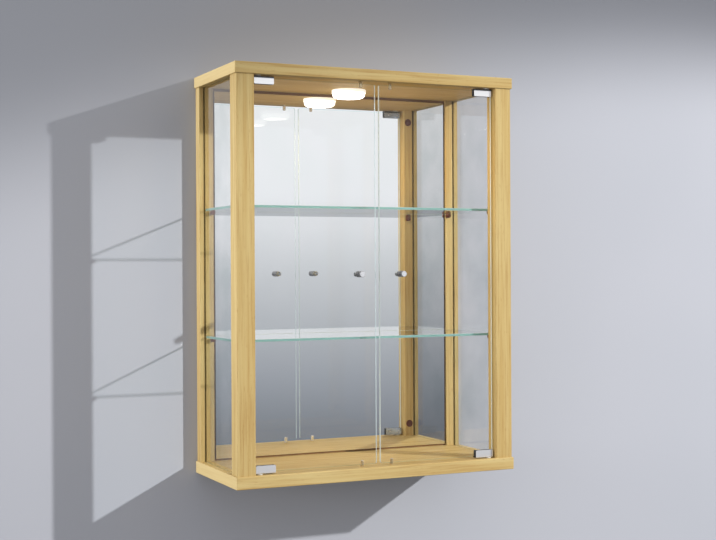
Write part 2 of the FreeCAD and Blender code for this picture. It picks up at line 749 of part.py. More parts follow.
def make_door_glass():
    """The left door's pane, with rounded corners, bevelled edges and the knob's hole."""
    body = doc.addObject("PartDesign::Body", "left_door_glass")
    outline = add_sketch(body, "outline", "XZ_Plane", "-door_front_y")
    add_rectangle(outline, "-door_outer_x", "-door_meeting_x", "door_bottom_z", "door_top_z")
    add_pad(body, outline, "door_thickness", along=False)
    round_edges(body, "door_corner_radius", lambda edge: runs_along(edge, "y"))
    bevel_edges(body, "glass_arris", lambda edge: edge.BoundBox.YLength < TOUCH)
    hole = [("-knob_x", "middle_z", "knob_hole_diameter")]
    drill(body, "knob_hole", "XZ_Plane", "-door_front_y", hole, "door_thickness", along=False)
    return body


def channel(front_y, back_y, bottom_z, wall):
    """A channel's U-shaped section, open at the top."""
    return [(front_y, bottom_z), (back_y, bottom_z), (back_y, "clamp_top_z"),
            (f"{back_y} - {wall}", "clamp_top_z"), (f"{back_y} - {wall}", f"{bottom_z} + {wall}"),
            (f"{front_y} + {wall}", f"{bottom_z} + {wall}"), (f"{front_y} + {wall}", "clamp_top_z"),
            (front_y, "clamp_top_z")]


def make_clamp():
    """The lower left hinge clamp: a channel over the door's corner, with a pin hole and two screw holes."""
    body = doc.addObject("PartDesign::Body", "hinge_clamp")
    section = add_sketch(body, "section", "YZ_Plane", "-clamp_outer_x")
    add_polygon(section, channel("clamp_front_y", "clamp_back_y", "clamp_bottom_z", "clamp_wall"))
    add_pad(body, section, "clamp_length")
    bottom, top = number("clamp_bottom_z"), number("clamp_top_z")

    def is_bend(edge):
        return runs_along(edge, "x") and edge.CenterOfMass.z < bottom + TOUCH

    round_edges(body, "clamp_bend_radius", is_bend)
    at_top = lambda edge: runs_along(edge, "y") and edge.CenterOfMass.z > top - TOUCH
    round_edges(body, "clamp_corner_radius", at_top)
    pin = [("-pivot_x", "pivot_y", "pin_diameter + pin_running_gap")]
    drill(body, "pin", "XY_Plane", "clamp_bottom_z", pin, "clamp_wall", along=True)
    bore = "clamp_screw_diameter + drill_clearance"
    screws = [("-" + x, "clamp_screw_z", bore) for x in ("clamp_screw_near_x", "clamp_screw_far_x")]
    drill(body, "screws", "XZ_Plane", "-clamp_back_y", screws, "clamp_wall", along=True)
    return body


def make_liner():
    """The soft channel between a clamp and the glass."""
    body = doc.addObject("PartDesign::Body", "clamp_liner")
    section = add_sketch(body, "section", "YZ_Plane", "liner_end_inset - clamp_outer_x")
    add_polygon(section, channel("liner_front_y", "liner_back_y", "liner_bottom_z", "liner_thickness"))
    add_pad(body, section, "clamp_length - liner_end_inset * 2")
    return body


def make_clamp_screws():
    """The two grub screws in the lower left clamp's inner leg."""
    radius, socket = "clamp_screw_diameter / 2", "clamp_screw_socket / 2"
    floor = "clamp_screw_length - clamp_screw_socket_depth"
    profile = [("0", "0"), (radius, "0"), (radius, "clamp_screw_length"), (socket, "clamp_screw_length"),
               (socket, floor), ("0", floor)]
    spots = {"near": "-clamp_screw_near_x", "far": "-clamp_screw_far_x"}
    return [turned(f"{name}_clamp_screw", profile, x, "liner_back_y", "clamp_screw_z", "back")
            for name, x in spots.items()]


def make_pin():
    """The lower left hinge pin, from the clamp's floor down into its bush."""
    radius, top = "pin_diameter / 2", "liner_bottom_z - base_top_z"
    profile = [("0", "-pin_depth"), (f"{radius} - pin_chamfer", "-pin_depth"),
               (radius, "pin_chamfer - pin_depth"), (radius, top), ("0", top)]
    return turned("hinge_pin", profile, "-pivot_x", "pivot_y", "base_top_z", "up")


def make_knob():
    """The left door's knob: a turned drum on a short neck, threaded from behind."""
    bore = "(knob_screw_diameter + drill_clearance) / 2"
    neck, radius = "knob_neck_diameter / 2", "knob_diameter / 2"
    narrow = radius + " - knob_chamfer"
    profile = [(bore, "0"), (neck, "0"), (neck, "knob_neck_length"), (narrow, "knob_neck_length"),
               (radius, "knob_neck_length + knob_chamfer"), (radius, "knob_length - knob_chamfer"),
               (narrow, "knob_length"), ("0", "knob_length"), ("0", "knob_thread_depth"),
               (bore, "knob_thread_depth")]
    return turned("left_knob", profile, "-knob_x", "door_front_y - washer_thickness", "middle_z", "front")


def make_washers():
    """The clear washers in front of the glass and behind it."""
    inner, outer = "(knob_screw_diameter + drill_clearance) / 2", "washer_diameter / 2"
    profile = [(inner, "0"), (outer, "0"), (outer, "washer_thickness"), (inner, "washer_thickness")]
    front = turned("front_washer", profile, "-knob_x", "door_front_y", "middle_z", "front")
    back = turned("back_washer", profile, "-knob_x", "door_back_y", "middle_z", "back")
    return group("left_knob_washers", [front, back])


def make_knob_screw():
    """The screw that holds the knob, its domed head inside the cabinet."""
    shank, head = "knob_screw_diameter / 2", "knob_screw_head_diameter / 2"
    tip = "-washer_thickness * 2 - door_thickness - knob_screw_engagement"
    bevel = "knob_screw_head_height / 2"
    profile = [("0", tip), (shank, tip), (shank, "0"), (head, "0"), (head, bevel),
               (f"{head} - {bevel}", "knob_screw_head_height"), ("0", "knob_screw_head_height")]
    seat_y = "door_back_y + washer_thickness"
    screw = turned("left_knob_screw", profile, "-knob_x", seat_y, "middle_z", "back")
    return cross_cut(screw, "knob_screw_head_height", along=False)


def make_doors():
    """The left door's pieces and their mirror images on the right."""
    screws = [copy for screw in make_clamp_screws() for copy in both_ends(screw)]
    left = [
        make_door_glass(),
        group("left_hinge_clamps", both_ends(make_clamp())),
        group("left_clamp_liners", both_ends(make_liner())),
        group("left_clamp_screws", screws),
        group("left_hinge_pins", both_ends(make_pin())),
        make_knob(),
        make_washers(),
        make_knob_screw(),
    ]
    right = [mirrored(piece, piece.Label.replace("left", "right"), "x") for piece in left]
    return left + right


# Hangers

def make_hanger():
    """The left keyhole plate, flush with the post's back."""
    body = doc.addObject("PartDesign::Body", "hanger_plate")
    outline = add_sketch(body, "outline", "XZ_Plane")
    half = "hanger_width / 2"
    left, right = f"-rear_middle_x - {half}", f"-rear_middle_x + {half}"
    add_rectangle(outline, left, right, "hanger_bottom_z", "hanger_top_z")
    add_pad(body, outline, "hanger_thickness")
    round_edges(body, "hanger_corner_radius", lambda edge: runs_along(edge, "y"))
    entry = [("-rear_middle_x", "0", "entry_diameter")]
    drill(body, "entry", "XZ_Plane", "0", entry, "hanger_thickness", along=True)
    slot = add_sketch(body, "slot", "XZ_Plane")
    half = "slot_width / 2"
    add_rectangle(slot, f"-rear_middle_x - {half}", f"-rear_middle_x + {half}", "0", "slot_rise")
    add_pocket(body, slot, "hanger_thickness", along=True)
    slot_end = [("-rear_middle_x", "slot_rise", "slot_width")]
    drill(body, "slot_end", "XZ_Plane", "0", slot_end, "hanger_thickness", along=True)
    levels = ("hanger_low_screw_z", "hanger_high_screw_z")
    screws = [("-rear_middle_x", z, "hanger_screw_bore") for z in levels]
    drill(body, "screws", "XZ_Plane", "0", screws, "hanger_thickness", along=True)

    bore = number("hanger_screw_bore") / 2

    def is_screw_mouth(edge):
        at_wall = abs(edge.CenterOfMass.y) < TOUCH
        return at_wall and isinstance(edge.Curve, Part.Circle) and abs(edge.Curve.Radius - bore) < TOUCH

    bevel_edges(body, "(hanger_screw_head - hanger_screw_diameter) / 2", is_screw_mouth)
    return body


def make_hanger_screw(label, z):
    """A countersunk screw through a hanger plate into the post."""
    shank, head = "hanger_screw_diameter / 2", "hanger_screw_head / 2"
    cone = "(hanger_screw_head - hanger_screw_diameter) / 2"
    point = "hanger_screw_length - hanger_screw_diameter"
    profile = [("0", "0"), (head, "0"), (shank, cone), (shank, point), ("0", "hanger_screw_length")]
    return cross_cut(turned(label, profile, "-rear_middle_x", "0", z, "front"), "0", along=True)


def make_hangers():
    """Both keyhole plates and their screws."""
    low = make_hanger_screw("low_hanger_screw", "hanger_low_screw_z")
    high = make_hanger_screw("high_hanger_screw", "hanger_high_screw_z")
    return [
        group("hanger_plates", both_sides(make_hanger())),
        group("hanger_screws", both_sides(low) + both_sides(high)),
    ]


# Lamp

def make_lamp_base():
    """The lamp's dish, screwed under the top, with a cable hole in its middle."""
    hole, outer, inner = "cable_hole_diameter / 2", "lamp_diameter / 2", "lamp_diameter / 2 - lamp_wall"
    plate = "lamp_plate_thickness"
    profile = [(hole, "0"), (outer, "0"), (outer, "lamp_rim_height"), (inner, "lamp_rim_height"),
               (inner, plate), (hole, plate)]
    body = turned("lamp_base", profile, "0", "lamp_y", "top_bottom_z", "down")
    screws = [(x, "0", "lamp_screw_bore") for x in ("-lamp_screw_x", "lamp_screw_x")]
    drill(body, "screws", "XY_Plane", "0", screws, plate, along=True)
    return body


def make_lamp_lens():
    """The opal bowl over the lights, rounded inside and out."""
    inner, foot = "lens_radius - lens_wall", "lamp_plate_thickness"
    ceiling = "lamp_height - lens_wall"
    profile = [(inner, foot), ("lens_radius", foot), ("lens_radius", "lamp_height"), ("0", "lamp_height"),
               ("0", ceiling), (inner, ceiling)]
    body = turned("lamp_lens", profile, "0", "lamp_y", "top_bottom_z", "down")

    def is_rim(radius, face):
        rim, height = number(radius), number(face)

        def wanted(edge):
            on_face = abs(edge.CenterOfMass.z - height) < TOUCH
            return isinstance(edge.Curve, Part.Circle) and on_face and abs(edge.Curve.Radius - rim) < TOUCH
        return wanted

    round_edges(body, "lens_round - lens_wall", is_rim(inner, ceiling))
    round_edges(body, "lens_round", is_rim("lens_radius", "lamp_height"))
    return body


def make_lamp_board():
    """The round circuit board and the ring of lights on it."""
    radius, low = "lamp_board_diameter / 2", "lamp_plate_thickness"
    high = low + " + lamp_board_thickness"
    profile = [("0", low), (radius, low), (radius, high), ("0", high)]
    board = turned("lamp_board", profile, "0", "lamp_y", "top_bottom_z", "down")
    face_z = f"top_bottom_z - ({high})"
    lights = []
    for turn in range(0, 360, 60):
        x = f"led_circle_diameter / 2 * cos({turn}) - led_width / 2"
        y = f"lamp_y + led_circle_diameter / 2 * sin({turn}) - led_width / 2"
        across, deep = (x, x + " + led_width"), (y, y + " + led_width")
        lights.append(block(f"led_{turn}", *across, *deep, face_z + " - led_height", face_z))
    return [board, group("lamp_leds", lights)]


def make_lamp_screws():
    """The two pan-head screws that hold the dish."""
    shank, head = "lamp_screw_diameter / 2", "lamp_screw_head_diameter / 2"
    tip = "lamp_plate_thickness - lamp_screw_length"
    bevel = "lamp_screw_head_height / 2"
    profile = [("0", tip), (shank, f"{tip} + lamp_screw_diameter"), (shank, "lamp_plate_thickness"),
               (head, "lamp_plate_thickness"), (head, f"lamp_plate_thickness + {bevel}"),
               (f"{head} - {bevel}", f"lamp_plate_thickness + {bevel} * 2"),
               ("0", f"lamp_plate_thickness + {bevel} * 2")]
    screw = turned("lamp_screw", profile, "-lamp_screw_x", "lamp_y", "top_bottom_z", "down")
    cross_cut(screw, f"lamp_plate_thickness + {bevel} * 2", along=False)
    return group("lamp_screws", both_sides(screw))


# The whole cabinet

def make_cabinet():
    """Every sub-part, in the order that the cabinet goes together."""
    front_post = make_front_post()
    rear_post = make_rear_post()
    side_glass = make_side_glass()
    parts = [make_base(), make_top(), front_post, rear_post, side_glass]
    for piece in (front_post, rear_post, side_glass):
        parts.append(mirrored(piece, piece.Label.replace("left", "right"), "x"))
    parts += make_mirror() + make_shelf("lower") + make_shelf("upper") + make_joints()
    parts += [make_bushes(), make_stops()] + make_doors() + make_hangers()
    parts += [make_lamp_base(), make_lamp_lens()] + make_lamp_board() + [make_lamp_screws()]
    doc.recompute()
    return parts


def check_document(parts):
    """Stops if any object failed or any sub-part has no sound shape."""
    for item in doc.Objects:
        if "Invalid" in item.State or "Error" in item.State:
            raise ValueError(f"{item.Label} failed: {item.State}")
    for part in parts:
        if part.Shape.isNull() or not part.Shape.isValid() or not part.Shape.Solids:
            raise ValueError(f"{part.Label} has no sound shape")


def write_parts(parts):
    """Writes each sub-part to its own file."""
    os.makedirs("parts", exist_ok=True)
    for part in parts:
        part.Shape.exportStep(f"parts/{part.Label}.step")
        print(part.Label, len(part.Shape.Solids), round(part.Shape.Volume))


cabinet = make_cabinet()
check_document(cabinet)
write_parts(cabinet)
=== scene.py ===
import bpy
import json
import math
from mathutils import Matrix, Vector

# The looks of the wall display cabinet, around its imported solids. All lengths are in metres.
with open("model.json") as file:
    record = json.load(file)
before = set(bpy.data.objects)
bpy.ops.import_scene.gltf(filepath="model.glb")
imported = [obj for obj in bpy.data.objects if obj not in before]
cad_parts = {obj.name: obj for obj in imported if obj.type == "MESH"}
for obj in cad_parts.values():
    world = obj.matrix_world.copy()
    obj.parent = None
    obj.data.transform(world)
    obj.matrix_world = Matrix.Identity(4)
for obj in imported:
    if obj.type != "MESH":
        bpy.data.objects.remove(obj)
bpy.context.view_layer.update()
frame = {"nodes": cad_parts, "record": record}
nodes = frame["nodes"]
scene = bpy.context.scene
scene.view_settings.view_transform = "Standard"


def box_of(name):
    """The lowest and the highest corner of a node's mesh."""
    points = [vertex.co for vertex in nodes[name].data.vertices]
    low = [min(point[axis] for point in points) for axis in range(3)]
    high = [max(point[axis] for point in points) for axis in range(3)]
    return Vector(low), Vector(high)


lens_low, lens_high = box_of("lamp_lens")
lamp_middle = (lens_low + lens_high) / 2
clamp_top_z = box_of("left_hinge_clamps")[1].z


# Node trees

NOISE_RANGE = (0.3, 0.7)


class Graph:
    """The node tree of a new material or world, with short calls to fill it."""

    def __init__(self, owner):
        owner.use_nodes = True
        self.owner = owner
        self.tree = owner.node_tree
        self.tree.nodes.clear()
        self.source = None

    def add(self, kind, inputs=None, **settings):
        """Adds a node; an input is a plain value or another node's output."""
        item = self.tree.nodes.new("ShaderNode" + kind)
        for key, value in settings.items():
            setattr(item, key, value)
        for key, value in (inputs or {}).items():
            if isinstance(value, bpy.types.NodeSocket):
                self.tree.links.new(value, item.inputs[key])
            else:
                item.inputs[key].default_value = value
        return item

    def maths(self, operation, first, second=0.0):
        """One step of arithmetic."""
        return self.add("Math", {0: first, 1: second}, operation=operation).outputs[0]

    def vector_maths(self, operation, first, second=(0, 0, 0)):
        """One step of arithmetic on vectors."""
        return self.add("VectorMath", {0: first, 1: second}, operation=operation).outputs

    def parts(self, system):
        """X, Y and Z of a coordinate system: Object, Normal or Generated."""
        return self.add("SeparateXYZ", {0: self.add("TexCoord").outputs[system]}).outputs

    def along(self, axis):
        """How far the surface faces along the piece's axis or against it, 0 to 1."""
        return self.maths("ABSOLUTE", self.parts("Normal")[axis])

    def noise(self, scale, detail=2.0, rough=0.5, stretch=(1, 1, 1)):
        """Noise between about 0 and 1, in features per metre, on the piece's coordinates or on source."""
        place = self.source or self.add("TexCoord").outputs["Object"]
        stretched = self.add("Mapping", {"Vector": place, "Scale": stretch}).outputs[0]
        inputs = {"Vector": stretched, "Scale": scale, "Detail": detail, "Roughness": rough}
        return self.add("TexNoise", inputs).outputs["Fac"]

    def spread(self, value, low, high, start=0.0, end=1.0):
        """Moves a value from one range to another and holds it there."""
        inputs = {"Value": value, "From Min": low, "From Max": high, "To Min": start, "To Max": end}
        return self.add("MapRange", inputs).outputs[0]

    def contrast(self, noise, start=0.0, end=1.0):
        """Spreads the range in which most of a noise lies."""
        return self.spread(noise, *NOISE_RANGE, start, end)

    def mix(self, share, first, second):
        """Mixes two colours."""
        return self.add("Mix", {0: share, 6: first, 7: second}, data_type="RGBA").outputs[2]

    def ramp(self, value, stops):
        """A colour from a value, by stops that pair a value and a colour."""
        low, high = stops[0][0], stops[-1][0]
        node = self.add("ValToRGB", {0: self.spread(value, low, high)})
        elements = node.color_ramp.elements
        elements[0].color = stops[0][1]
        elements[1].color = stops[-1][1]
        for stop, colour in stops[1:-1]:
            elements.new((stop - low) / (high - low)).color = colour
        return node.outputs[0]

    def bump(self, height, distance, strength):
        """A normal from a height between 0 and 1."""
        inputs = {"Height": height, "Distance": distance, "Strength": strength}
        return self.add("Bump", inputs).outputs[0]

    def surface(self, inputs):
        """A principled shader."""
        return self.add("BsdfPrincipled", inputs).outputs[0]

    def open_way(self, colour):
        """A shader that light passes straight through."""
        return self.add("BsdfTransparent", {"Color": colour}).outputs[0]

    def blend(self, share, first, second):
        """Mixes two shaders."""
        return self.add("MixShader", {0: share, 1: first, 2: second}).outputs[0]

    def finish(self, shader, output="OutputMaterial"):
        """Ends the tree with a shader and gives the material or world."""
        self.add(output, {"Surface": shader})
        return self.owner


def new_material(name):
    """The empty tree of a new material."""
    return Graph(bpy.data.materials.new(name))


def rgb(red, green, blue):
    """A colour from the numbers that a picture shows, 0 to 255, as light by the sRGB formula."""
    def light(value):
        share = value / 255
        return share / 12.92 if share <= 0.04045 else ((share + 0.055) / 1.055) ** 2.4
    return (light(red), light(green), light(blue), 1.0)


def darker(colour, share):
    """A colour at a share of its light."""
    return tuple(share * part for part in colour[:3]) + (1,)


# Tones, as light, and other values that materials share

WHITE = (1, 1, 1, 1)
BLACK = (0, 0, 0, 1)

BEECH_PALE, BEECH_MID, BEECH_DARK = rgb(194, 172, 119), rgb(181, 153, 98), rgb(145, 103, 52)
# Board ends are lightened by painted light, as if more brightly lit
END_BAND_PAINTED_LIGHT = rgb(214, 192, 140)
END_FACING, END_SHARE = 0.7, 0.6
WOOD_SHEEN = 0.05

GLASS_INDEX = 1.33
UPRIGHT_CLEAR = 0.4
CLEAR = (0.985, 0.995, 0.99, 1)
GREY_TINT = (0.80, 0.84, 0.84, 1)
DEEP_GREEN, MINT, PALE_BLUE = (0.16, 0.26, 0.23, 1), (0.26, 0.50, 0.46, 1), (0.85, 0.95, 0.97, 1)
SILVER_ARRIS, BLUE_ARRIS = (0.62, 0.68, 0.66, 1), (0.78, 0.90, 0.92, 1)
FACE_SHADOW, EDGE_SHADOW = (0.99, 1, 1, 1), (0.3, 0.34, 0.33, 1)

ZINC = (0.55, 0.56, 0.58, 1)
STEEL = (0.62, 0.63, 0.65, 1)
# The next four tones are painted light: a painted highlight on the clamps' fronts and the stops' backs,
# painted shade on the clamps' backs, a painted reflection of the wood on the stops' fronts, and painted dark
# reflections and shadow on the clamps' narrow sides and tops
PAINTED_HIGHLIGHT = (0.97, 0.97, 0.98, 1)
SHADED = (0.56, 0.66, 0.84, 1)
PAINTED_WOOD_REFLECTION = (0.60, 0.46, 0.26, 1)
PAINTED_DARK = (0.07, 0.07, 0.08, 1)
# The soft edge of the painted shadow of the gap under the top board, measured down from the clamps' top
GAP_SHADE_LOW, GAP_SHADE_HIGH = 0.0041, 0.0030

OPAL = (0.9, 0.88, 0.82, 1)
WARM_WHITE = (1, 0.97, 0.9, 1)
LAMP_WHITE = (1, 0.93, 0.80, 1)
LED_YELLOW = (1, 0.85, 0.45, 1)


# Materials

def banded_ends(graph):
    """1 on a board's two ends, and coordinates that turn the grain there, as on an edge band."""
    straight = graph.add("TexCoord").outputs["Object"]
    own = graph.parts("Object")
    turned = graph.add("CombineXYZ", {0: own["Y"], 1: own["X"], 2: own["Z"]}).outputs[0]
    is_end = graph.maths("GREATER_THAN", graph.along("X"), END_FACING)
    mixed = graph.add("Mix", {0: is_end, 4: straight, 5: turned}, data_type="VECTOR").outputs[1]
    return is_end, mixed


def wood(name, grain):
    """Lacquered beech: soft bands and fine streaks along the grain, x or z, with short dark flecks."""
    def drawn_out(share):
        return (share, 1, 1) if grain == "x" else (1, 1, share)

    graph = new_material(name)
    is_end = 0.0
    if grain == "x":
        is_end, graph.source = banded_ends(graph)
    bands = graph.noise(75, stretch=drawn_out(0.03))
    streaks = graph.noise(260, detail=4.0, rough=0.6, stretch=drawn_out(0.03))
    clouds = graph.noise(6)
    flecks = graph.noise(620, detail=1.0, rough=0.4, stretch=drawn_out(0.12))
    colour = graph.mix(graph.spread(bands, 0.34, 0.66), BEECH_MID, BEECH_PALE)
    colour = graph.mix(graph.spread(streaks, 0.48, 0.74, 0.0, 0.6), colour, BEECH_DARK)
    colour = graph.mix(graph.spread(clouds, 0.35, 0.75, 0.0, 0.35), colour, BEECH_MID)
    colour = graph.mix(graph.spread(flecks, 0.66, 0.74, 0.0, 0.35), colour, BEECH_DARK)
    # Painted light: both ends of a board are lightened; the turned grain there is the edge band's own
    colour = graph.mix(graph.maths("MULTIPLY", is_end, END_SHARE), colour, END_BAND_PAINTED_LIGHT)
    rough = graph.contrast(streaks, 0.42, 0.54)
    relief = graph.bump(streaks, 0.0002, 0.25)
    inputs = {"Base Color": colour, "Roughness": rough, "Normal": relief, "Specular IOR Level": WOOD_SHEEN}
    return graph.finish(graph.surface(inputs))


def edge_share(graph, axis):
    """0 on a pane's two faces, 1 on its edges; the axis is the one through its thickness."""
    return graph.spread(graph.along(axis), 0.95, 0.55)


def glass(name, axis, tint, edge, arris, level_clear=UPRIGHT_CLEAR):
    """Float glass: clear faces that let lamp light through, and ground edges.

    The axis runs through the thickness. level_clear says how clear the edges are that face up or down.
    """
    graph = new_material(name)
    share = edge_share(graph, axis)
    face_colour = graph.mix(graph.contrast(graph.noise(9)), tint, WHITE)
    inputs = {"Base Color": face_colour, "Roughness": 0.0, "IOR": GLASS_INDEX, "Transmission Weight": 1.0}
    face = graph.surface(inputs)
    grind = graph.noise(900)
    edge_colour = graph.mix(graph.spread(share, 0.55, 0.95), arris, edge)
    edge_colour = graph.mix(graph.contrast(grind, 0.0, 0.25), edge_colour, arris)
    ground = graph.surface({"Base Color": edge_colour, "Roughness": graph.spread(grind, 0.2, 0.8, 0.2, 0.4)})
    clearness = graph.spread(graph.along("Z"), 0.3, 0.7, UPRIGHT_CLEAR, level_clear)
    rim = graph.blend(clearness, ground, graph.open_way(edge_colour))
    pane = graph.blend(graph.spread(share, 0.1, 0.4), face, rim)
    shadow = graph.open_way(graph.mix(share, FACE_SHADOW, EDGE_SHADOW))
    is_shadow = graph.add("LightPath").outputs["Is Shadow Ray"]
    return graph.finish(graph.blend(is_shadow, pane, shadow))


def mirror(name):
    """Silvered glass with the least trace of cloud in the silver, and dark green edges."""
    graph = new_material(name)
    cloud = graph.noise(6, detail=3.0)
    share = edge_share(graph, "Y")
    silver = graph.mix(graph.contrast(cloud), (0.93, 0.94, 0.94, 1), (0.95, 0.96, 0.96, 1))
    colour = graph.mix(share, silver, (0.05, 0.09, 0.08, 1))
    metallic = graph.maths("SUBTRACT", 1.0, share)
    return graph.finish(graph.surface({"Base Color": colour, "Metallic": metallic, "Roughness": 0.0}))


def metal(name, colour, rough, brush=(1, 1, 1), uneven=0.05, metallic=1.0, front=None, sides=None):
    """Metal with fine brush marks, a painted reflection in another tone on its front, and painted shade on
    its narrow sides.

    The painted shade of the sides also runs along the top of the upper hinge clamps, as the shadow of the
    gap above them.
    """
    graph = new_material(name)
    marks = graph.noise(700, detail=3.0, rough=0.6, stretch=brush)
    shade = graph.mix(graph.contrast(marks), colour, darker(colour, 0.88))
    # Painted reflection: faces turned to the front take the front tone
    if front:
        shade = graph.mix(graph.spread(graph.parts("Normal")["Y"], -0.2, 0.2), front, shade)
    if sides:
        # Painted shadow of the gap under the top board, in the upper clamps' top few millimetres
        painted_gap_shade = graph.spread(graph.parts("Object")["Z"], clamp_top_z - GAP_SHADE_LOW, clamp_top_z - GAP_SHADE_HIGH)
        shade = graph.mix(painted_gap_shade, shade, sides)
        # Painted shade: the narrow sides take the dark tone
        shade = graph.mix(graph.spread(graph.along("Y"), 0.4, 0.9), sides, shade)
    gloss = graph.spread(marks, 0.25, 0.75, rough, rough + uneven)
    relief = graph.bump(marks, 0.00004, 0.2)
    inputs = {"Base Color": shade, "Metallic": metallic, "Roughness": gloss, "Normal": relief}
    return graph.finish(graph.surface(inputs))


def knob_metal(name):
    """Turned chrome with fine rings, with painted light: a painted highlight on the face and a painted dark
    reflection on the side.
    """
    graph = new_material(name)
    # Painted light: the face turned to the front is bright and the side is dark, as reflections on chrome
    face = graph.spread(graph.along("Y"), 0.6, 0.9)
    rings = graph.noise(900, stretch=(0.02, 1, 0.02))
    side = graph.mix(graph.spread(rings, 0.35, 0.65), (0.08, 0.08, 0.09, 1), (0.27, 0.27, 0.28, 1))
    colour = graph.mix(face, side, (0.90, 0.90, 0.91, 1))
    gloss = graph.contrast(rings, 0.22, 0.34)
    relief = graph.bump(rings, 0.0001, 0.3)
    inputs = {"Base Color": colour, "Metallic": 0.7, "Roughness": gloss, "Normal": relief}
    return graph.finish(graph.surface(inputs))


def plastic(name, colour, rough):
    """Moulded plastic with a fine grain."""
    graph = new_material(name)
    pits = graph.noise(1500)
    shade = graph.mix(graph.contrast(pits), colour, darker(colour, 0.86))
    gloss = graph.contrast(pits, rough, rough + 0.12)
    relief = graph.bump(pits, 0.00005, 0.3)
    return graph.finish(graph.surface({"Base Color": shade, "Roughness": gloss, "Normal": relief}))


def fibre_board(name):
    """Hardboard: pressed brown fibres."""
    graph = new_material(name)
    fibres = graph.noise(420, detail=5.0, rough=0.7)
    clouds = graph.noise(14, detail=3.0)
    colour = graph.mix(graph.contrast(fibres), rgb(120, 86, 52), rgb(164, 124, 82))
    colour = graph.mix(graph.contrast(clouds, 0.0, 0.4), colour, rgb(140, 100, 62))
    relief = graph.bump(fibres, 0.0002, 0.4)
    return graph.finish(graph.surface({"Base Color": colour, "Roughness": 0.7, "Normal": relief}))


def glowing(name, colour, rim, middle, radius):
    """Opal plastic lit from inside, as bright as rim says at a radius from the lamp's middle."""
    graph = new_material(name)
    own = graph.add("TexCoord").outputs["Object"]
    offset = graph.vector_maths("SUBTRACT", own, lamp_middle)[0]
    flat = graph.vector_maths("MULTIPLY", offset, (1, 1, 0))[0]
    away = graph.vector_maths("LENGTH", flat)["Value"]
    glow = graph.mix(graph.contrast(graph.noise(60)), colour, WARM_WHITE)
    glow = graph.mix(graph.spread(away, 0.2 * radius, radius, 1.0, rim / middle), BLACK, glow)
    inputs = {"Base Color": OPAL, "Roughness": 0.35, "Emission Color": glow, "Emission Strength": middle}
    return graph.finish(graph.surface(inputs))


looks = {
    "post_wood": wood("post_wood", "z"),
    "board_wood": wood("board_wood", "x"),
    "dowel_wood": wood("dowel_wood", "z"),
    "side_glass": glass("side_glass", "X", GREY_TINT, DEEP_GREEN, SILVER_ARRIS),
    "door_glass": glass("door_glass", "Y", CLEAR, PALE_BLUE, BLUE_ARRIS, level_clear=0.97),
    "shelf_glass": glass("shelf_glass", "Z", CLEAR, MINT, SILVER_ARRIS),
    "mirror": mirror("mirror_silver"),
    "hardboard": fibre_board("hardboard"),
    "brown_plastic": plastic("brown_plastic", rgb(92, 42, 16), rough=0.4),
    "zinc": metal("zinc", ZINC, rough=0.35, uneven=0.15),
    "steel": metal("steel", STEEL, rough=0.28),
    # The clamps: a painted highlight on the front, painted shade on the back, painted dark reflections on
    # the narrow sides and a painted shadow of the gap under the top board
    "chrome": metal("chrome", SHADED, rough=0.14, brush=(0.05, 1, 1), metallic=0.65,
                    front=PAINTED_HIGHLIGHT, sides=PAINTED_DARK),
    "knob": knob_metal("knob_chrome"),
    # The stops: a painted highlight on their backs and a painted reflection of the wood on their fronts
    "stop": metal("stop_metal", PAINTED_HIGHLIGHT, rough=0.2, metallic=0.6, front=PAINTED_WOOD_REFLECTION),
    "bush_plastic": plastic("bush_plastic", rgb(210, 208, 200), rough=0.4),
    "liner_rubber": plastic("liner_rubber", rgb(60, 60, 60), rough=0.6),
    "washer_plastic": plastic("washer_plastic", rgb(190, 195, 196), rough=0.25),
    # The housing's glow is light through the opal plastic and, beyond that, painted light standing in for
    # the lamp's bloom
    "lamp_plastic": glowing("lamp_plastic", LAMP_WHITE, rim=0.7, middle=0.7, radius=0.035),
    "lamp_opal": glowing("lamp_opal", LAMP_WHITE, rim=2.4, middle=20.0, radius=0.030),
    "circuit_board": plastic("circuit_board", rgb(226, 226, 220), rough=0.5),
    "led": glowing("led", LED_YELLOW, rim=2.0, middle=2.0, radius=0.02),
}
# Nodes and slots that don't wear the look of their slot's own name
SPECIAL = {"beech": "post_wood", "base_panel": "board_wood", "top_panel": "board_wood",
           "left_knob": "knob", "right_knob": "knob", "door_stops": "stop"}
for part in frame["record"]["subparts"]:
    slot_name = part["material_slot"]
    look = looks[SPECIAL.get(part["node"], SPECIAL.get(slot_name, slot_name))]
    mesh = nodes[part["node"]].data
    mesh.materials.clear()
    mesh.materials.append(look)


# Stage: a wall that only shows from the room's side, and a floor far below

def paint(name, first, second):
    """Pale plaster, open from behind."""
    graph = new_material(name)
    colour = graph.mix(graph.contrast(graph.noise(1.2)), first, second)
    matt = graph.surface({"Base Color": colour, "Roughness": 0.85})
    behind = graph.add("NewGeometry").outputs["Backfacing"]
    return graph.finish(graph.blend(behind, matt, graph.open_way(WHITE)))


def backdrop(name, corners, look):
    """A plane that lights and shades nothing, and that metal and mirror don't show."""
    mesh = bpy.data.meshes.new(name)
    mesh.from_pydata(corners, [], [(0, 1, 2, 3)])
    mesh.materials.append(look)
    plane = bpy.data.objects.new(name, mesh)
    scene.collection.objects.link(plane)
    plane.visible_shadow = False
    plane.visible_diffuse = False
    plane.visible_glossy = False


